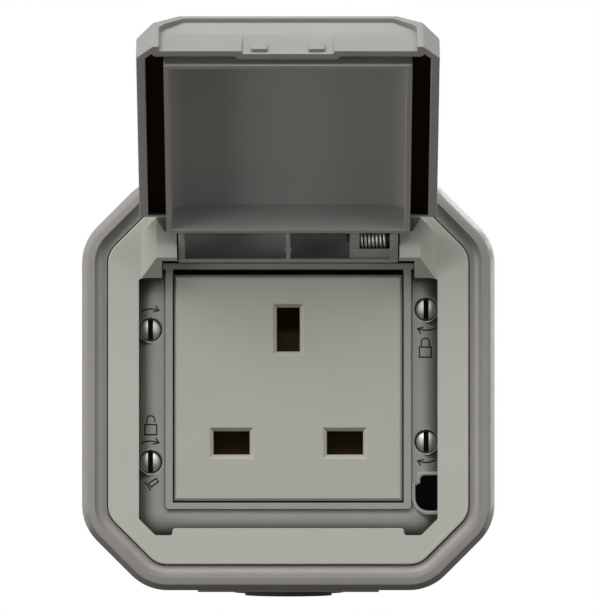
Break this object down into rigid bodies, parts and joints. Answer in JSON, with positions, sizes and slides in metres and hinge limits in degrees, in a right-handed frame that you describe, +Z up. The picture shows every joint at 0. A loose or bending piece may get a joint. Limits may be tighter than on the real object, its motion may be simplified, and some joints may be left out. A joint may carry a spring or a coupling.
{
  "type": "outdoor weatherproof socket",
  "caption": "Surface-mounted weatherproof socket outlet: eight-sided box, cover plate with three flat-pin openings, and a hinged sealing lid that stands open.",
  "frame": {"origin": "on the wall, behind the middle of the box", "axes": "+Y into the wall, +Z up, +X to the right seen from the front"},
  "size_m": [0.0808, 0.0915, 0.1127],
  "materials": {
    "box_plastic": "moulded, fine satin, mid warm grey",
    "light_plastic": "moulded, fine satin, light grey",
    "frame_plastic": "moulded, satin, mid grey",
    "insulator": "moulded thermoset, dark brown grey",
    "shutter_plastic": "moulded, dark grey",
    "dark_elastomer": "moulded elastomer, matt dark grey",
    "black_elastomer": "foamed elastomer, matt black",
    "contact_brass": "pressed strip, as rolled",
    "plated_steel": "turned and zinc plated",
    "spring_steel": "drawn wire, bright"
  },
  "bodies": {
    "housing": {"back_box": "box_plastic", "entry_membrane": "dark_elastomer", "frame_gasket": "black_elastomer", "inner_frame": "frame_plastic", "plate_seal": "frame_plastic", "socket_plate": "light_plastic", "socket_body": "insulator", "earth_contact": "contact_brass", "neutral_contact": "contact_brass", "live_contact": "contact_brass", "earth_terminal_screw": "plated_steel", "neutral_terminal_screw": "plated_steel", "live_terminal_screw": "plated_steel", "shutter_spring": "spring_steel", "bezel": "light_plastic", "hinge_pin": "plated_steel"},
    "lid": {"lid": "light_plastic", "lid_seal": "black_elastomer", "hinge_spring": "spring_steel"},
    "hinge_plunger": {"hinge_plunger": "plated_steel"},
    "shutter": {"shutter": "shutter_plastic"},
    "lock_screw_upper_left": {"lock_screw_upper_left": "plated_steel"},
    "lock_screw_lower_left": {"lock_screw_lower_left": "plated_steel"},
    "lock_screw_upper_right": {"lock_screw_upper_right": "plated_steel"},
    "lock_screw_lower_right": {"lock_screw_lower_right": "plated_steel"}
  },
  "joints": [
    {"name": "lid_hinge", "type": "hinge", "parent": "housing", "child": "lid", "pos_m": [0, -0.0466, 0.0285], "axis": [1, 0, 0], "range_deg": [0, 131.8]},
    {"name": "plunger_press", "type": "slide", "parent": "lid", "child": "hinge_plunger", "axis": [-1, 0, 0], "range_m": [0, 0.0022], "stiffness_N_per_m": 100, "springref_m": -0.003, "deforming": ["hinge_spring"]},
    {"name": "shutter_slide", "type": "slide", "parent": "housing", "child": "shutter", "axis": [0, 0, -1], "range_m": [0, 0.0052], "stiffness_N_per_m": 60, "springref_m": -0.002, "deforming": ["shutter_spring"]},
    {"name": "turn_upper_left", "type": "hinge", "parent": "housing", "child": "lock_screw_upper_left", "pos_m": [-0.027, -0.038, 0.0106], "axis": [0, 1, 0], "range_deg": [0, 90]},
    {"name": "turn_lower_left", "type": "hinge", "parent": "housing", "child": "lock_screw_lower_left", "pos_m": [-0.027, -0.038, -0.0153], "axis": [0, 1, 0], "range_deg": [0, 90]},
    {"name": "turn_upper_right", "type": "hinge", "parent": "housing", "child": "lock_screw_upper_right", "pos_m": [0.027, -0.038, 0.0146], "axis": [0, 1, 0], "range_deg": [0, 90]},
    {"name": "turn_lower_right", "type": "hinge", "parent": "housing", "child": "lock_screw_lower_right", "pos_m": [0.027, -0.038, -0.0113], "axis": [0, 1, 0], "range_deg": [0, 90]}
  ]
}
